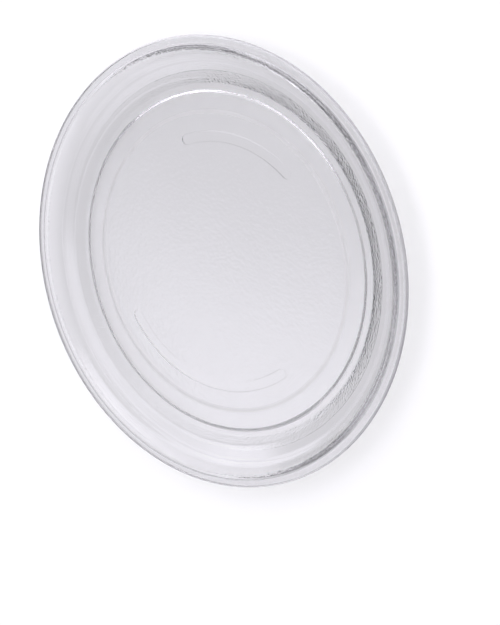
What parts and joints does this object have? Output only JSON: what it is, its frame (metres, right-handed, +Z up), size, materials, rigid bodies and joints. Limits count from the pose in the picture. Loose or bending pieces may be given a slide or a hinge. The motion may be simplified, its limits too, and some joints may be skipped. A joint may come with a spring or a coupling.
{
  "type": "microwave turntable plate",
  "caption": "Round pressed-glass turntable plate with a shallow dish, a raised rim, a foot ring and a smooth roller track under a flat floor.",
  "frame": {"origin": "on the plate's axis, in the plane of the foot ring that stands on the table", "axes": "+Z up along the plate's axis, out of the dish; -Y towards the viewer of the picture"},
  "size_m": [0.245, 0.245, 0.0128],
  "materials": {
    "glass": "clear pressed glass, smooth on top and stippled underneath"
  },
  "bodies": {
    "root": {"glass_plate": "glass"}
  },
  "joints": []
}
